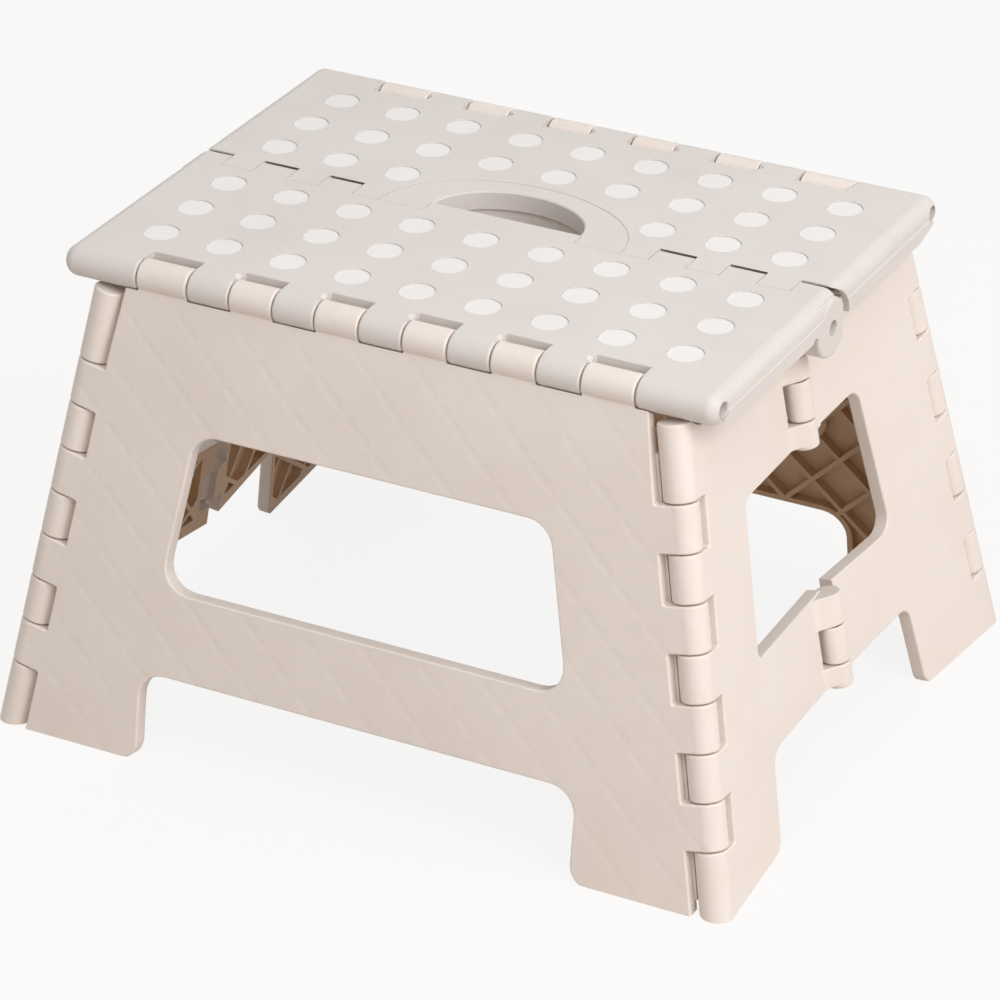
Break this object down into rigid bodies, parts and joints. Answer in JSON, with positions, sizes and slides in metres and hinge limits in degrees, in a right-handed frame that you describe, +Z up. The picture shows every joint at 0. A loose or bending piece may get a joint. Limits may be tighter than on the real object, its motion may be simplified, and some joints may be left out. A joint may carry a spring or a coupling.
{
  "type": "folding step stool",
  "caption": "Folding step stool: a hinged tread with grip dots and a hand slot on splayed leg panels, whose ends fold inward so that it packs flat.",
  "frame": {"origin": "on the floor, under the middle of the tread", "axes": "+X along the long side to the right, +Y to the rear, +Z up"},
  "size_m": [0.355, 0.2886, 0.22],
  "materials": {
    "grey_plastic": "matte",
    "light_plastic": "matte",
    "cream_plastic": "matte",
    "pin_steel": "satin"
  },
  "bodies": {
    "front_leg": {"front_leg_panel": "cream_plastic", "front_edge_pin": "pin_steel", "corner_pin_right_front": "pin_steel", "corner_pin_left_front": "pin_steel"},
    "tread_front": {"tread_front": "grey_plastic", "grip_front_1": "light_plastic", "grip_front_2": "light_plastic", "grip_front_3": "light_plastic", "seam_pin_right": "pin_steel", "seam_pin_left": "pin_steel"},
    "tread_rear": {"tread_rear": "grey_plastic", "grip_rear_1_left": "light_plastic", "grip_rear_1_right": "light_plastic", "grip_rear_2": "light_plastic", "grip_rear_3": "light_plastic"},
    "rear_leg": {"rear_leg_panel": "cream_plastic", "rear_edge_pin": "pin_steel", "corner_pin_right_rear": "pin_steel", "corner_pin_left_rear": "pin_steel"},
    "end_right_front": {"end_right_front": "cream_plastic", "end_pin_right_upper": "pin_steel", "end_pin_right_lower": "pin_steel"},
    "end_left_front": {"end_left_front": "cream_plastic", "end_pin_left_upper": "pin_steel", "end_pin_left_lower": "pin_steel"},
    "end_right_rear": {"end_right_rear": "cream_plastic"},
    "end_left_rear": {"end_left_rear": "cream_plastic"}
  },
  "joints": [
    {"name": "fold", "type": "hinge", "parent": "front_leg", "child": "tread_front", "pos_m": [0, -0.1035, 0.213], "axis": [1, 0, 0], "range_deg": [0, 82]},
    {"name": "seam", "type": "hinge", "parent": "tread_front", "child": "tread_rear", "pos_m": [0, 0, 0.204], "axis": [-1, 0, 0], "range_deg": [0, 180]},
    {"name": "rear_edge", "type": "hinge", "parent": "tread_rear", "child": "rear_leg", "pos_m": [0, 0.1035, 0.213], "axis": [1, 0, 0], "range_deg": [0, 82]},
    {"name": "corner_right_front", "type": "hinge", "parent": "front_leg", "child": "end_right_front", "pos_m": [0.1703, -0.13698, 0], "axis": [-0.1833, 0.1538, 0.971], "range_deg": [0, 86.3]},
    {"name": "corner_right_rear", "type": "hinge", "parent": "rear_leg", "child": "end_right_rear", "pos_m": [0.1703, 0.13698, 0], "axis": [0.1833, 0.1538, -0.971], "range_deg": [0, 86.3]},
    {"name": "corner_left_front", "type": "hinge", "parent": "front_leg", "child": "end_left_front", "pos_m": [-0.1703, -0.13698, 0], "axis": [-0.1833, -0.1538, -0.971], "range_deg": [0, 86.3]},
    {"name": "corner_left_rear", "type": "hinge", "parent": "rear_leg", "child": "end_left_rear", "pos_m": [-0.1703, 0.13698, 0], "axis": [0.1833, -0.1538, 0.971], "range_deg": [0, 86.3]}
  ],
  "couplings": [
    {"joint": "seam", "follows": "fold", "ratio": 2.1951},
    {"joint": "rear_edge", "follows": "fold", "ratio": 1},
    {"joint": "corner_right_front", "follows": "fold", "ratio": 1.0524},
    {"joint": "corner_right_rear", "follows": "fold", "ratio": 1.0524},
    {"joint": "corner_left_front", "follows": "fold", "ratio": 1.0524},
    {"joint": "corner_left_rear", "follows": "fold", "ratio": 1.0524}
  ]
}
